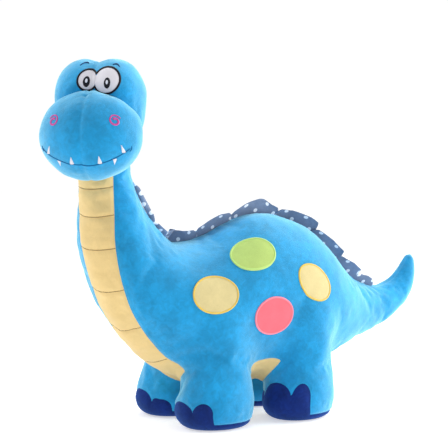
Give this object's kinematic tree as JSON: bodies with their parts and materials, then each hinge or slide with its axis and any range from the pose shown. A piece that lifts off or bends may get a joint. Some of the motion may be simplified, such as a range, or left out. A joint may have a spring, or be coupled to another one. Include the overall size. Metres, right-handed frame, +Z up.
{
  "type": "stuffed dinosaur toy",
  "caption": "Plush long-necked dinosaur that stands on four stuffed legs, with a turned head, a pale ribbed belly strip, round patches and a dotted frill down its back.",
  "frame": {"origin": "on the ground, under the middle of the whole toy's box", "axes": "+Z up; the toy faces -X and its left side is -Y, so its tail is at +X"},
  "size_m": [0.6309, 0.2208, 0.4999],
  "materials": {
    "blue_plush": "short velvety pile",
    "cream_plush": "short velvety pile",
    "navy_plush": "short velvety pile",
    "cream_patch": "short pile with a satin-stitched edge",
    "green_patch": "short pile with a satin-stitched edge",
    "pink_patch": "short pile with a satin-stitched edge",
    "dotted_cotton": "woven cotton with white dots",
    "black_thread": "satin-stitched thread",
    "dark_blue_thread": "stitched thread",
    "white_thread": "satin-stitched thread",
    "pink_thread": "satin-stitched thread",
    "wadding": "polyester fibre filling"
  },
  "bodies": {
    "torso": {"side_panel_left": "blue_plush", "side_panel_right": "blue_plush", "belly_strip": "cream_plush", "torso_stuffing": "wadding", "leg_front_left": "blue_plush", "leg_front_right": "blue_plush", "leg_rear_left": "blue_plush", "leg_rear_right": "blue_plush", "leg_stuffing_front_left": "wadding", "leg_stuffing_front_right": "wadding", "leg_stuffing_rear_left": "wadding", "leg_stuffing_rear_right": "wadding", "toe_cap_front_left": "navy_plush", "toe_cap_front_right": "navy_plush", "toe_cap_rear_left": "navy_plush", "toe_cap_rear_right": "navy_plush", "sole_front_left": "navy_plush", "sole_front_right": "navy_plush", "sole_rear_left": "navy_plush", "sole_rear_right": "navy_plush", "spot_shoulder_left": "cream_patch", "spot_back_left": "green_patch", "spot_flank_left": "pink_patch", "spot_rump_left": "cream_patch", "spot_shoulder_right": "cream_patch", "spot_back_right": "green_patch", "spot_flank_right": "pink_patch", "spot_rump_right": "cream_patch", "back_frill": "dotted_cotton"},
    "neck": {"neck_panel_left": "blue_plush", "neck_panel_right": "blue_plush", "throat_strip": "cream_plush", "neck_stuffing": "wadding", "neck_frill": "dotted_cotton"},
    "head": {"crown_left": "blue_plush", "crown_right": "blue_plush", "muzzle_left": "blue_plush", "muzzle_right": "blue_plush", "head_stuffing": "wadding", "eye_borders": "black_thread", "eye_whites": "white_thread", "pupils": "black_thread", "eye_highlights": "white_thread", "brow_lines": "dark_blue_thread", "cheek_swirl_left": "pink_thread", "cheek_swirl_right": "pink_thread", "mouth_line": "dark_blue_thread", "upper_teeth": "white_thread", "lower_teeth": "white_thread"},
    "tail": {"tail_panel_left": "blue_plush", "tail_panel_right": "blue_plush", "tail_stuffing": "wadding", "tail_frill": "dotted_cotton"},
    "tail_tip": {"tail_tip_left": "blue_plush", "tail_tip_right": "blue_plush", "tail_tip_stuffing": "wadding"}
  },
  "joints": [
    {"name": "neck_bend", "type": "hinge", "parent": "torso", "child": "neck", "pos_m": [-0.183, 0, 0.25], "axis": [0, 1, 0], "range_deg": [-10, 8], "stiffness_Nm_per_rad": 6},
    {"name": "head_turn", "type": "hinge", "parent": "neck", "child": "head", "pos_m": [-0.214, 0, 0.38], "axis": [0, 0, 1], "range_deg": [-18, 18], "stiffness_Nm_per_rad": 1},
    {"name": "tail_wag", "type": "hinge", "parent": "torso", "child": "tail", "pos_m": [0.165, 0, 0.148], "axis": [0, 0, 1], "range_deg": [-18, 18], "stiffness_Nm_per_rad": 1},
    {"name": "tail_curl", "type": "hinge", "parent": "tail", "child": "tail_tip", "pos_m": [0.258, 0, 0.147], "axis": [0, 1, 0], "range_deg": [-14, 14], "stiffness_Nm_per_rad": 0.5}
  ]
}
